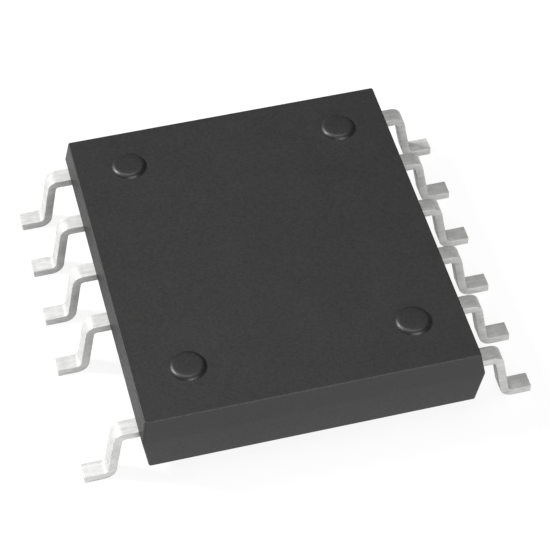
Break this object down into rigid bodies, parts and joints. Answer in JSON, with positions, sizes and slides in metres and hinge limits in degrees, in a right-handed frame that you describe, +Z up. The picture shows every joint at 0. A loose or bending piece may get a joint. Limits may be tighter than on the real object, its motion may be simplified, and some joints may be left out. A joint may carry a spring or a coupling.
{
  "type": "integrated circuit",
  "caption": "Power integrated circuit in a flat moulded package, with gull-wing solder leads along both sides and a bare metal thermal pad underneath.",
  "frame": {"origin": "on the plane of the feet, under the middle of the moulded body", "axes": "+X to the row of six leads, +Y to the end with lead 1, +Z up"},
  "size_m": [0.0118, 0.0102, 0.0024],
  "materials": {
    "mould_compound": "dark grey moulded epoxy with a fine spark-eroded grain",
    "tin_plating": "satin tin plating over copper alloy",
    "silicon": "polished silicon",
    "die_attach": "silver-filled adhesive",
    "bond_wire": "drawn copper, bright"
  },
  "bodies": {
    "root": {"moulded_body": "mould_compound", "thermal_pad_frame": "tin_plating", "lead_1": "tin_plating", "lead_2": "tin_plating", "lead_3": "tin_plating", "lead_4": "tin_plating", "lead_6": "tin_plating", "power_die": "silicon", "control_die": "silicon", "power_die_attach": "die_attach", "control_die_attach": "die_attach", "signal_wire_1": "bond_wire", "signal_wire_2": "bond_wire", "signal_wire_3": "bond_wire", "signal_wire_4": "bond_wire", "drain_wire_1": "bond_wire", "drain_wire_2": "bond_wire", "gate_wire": "bond_wire", "sense_wire": "bond_wire", "ground_wire": "bond_wire", "source_wire": "bond_wire"}
  },
  "joints": []
}
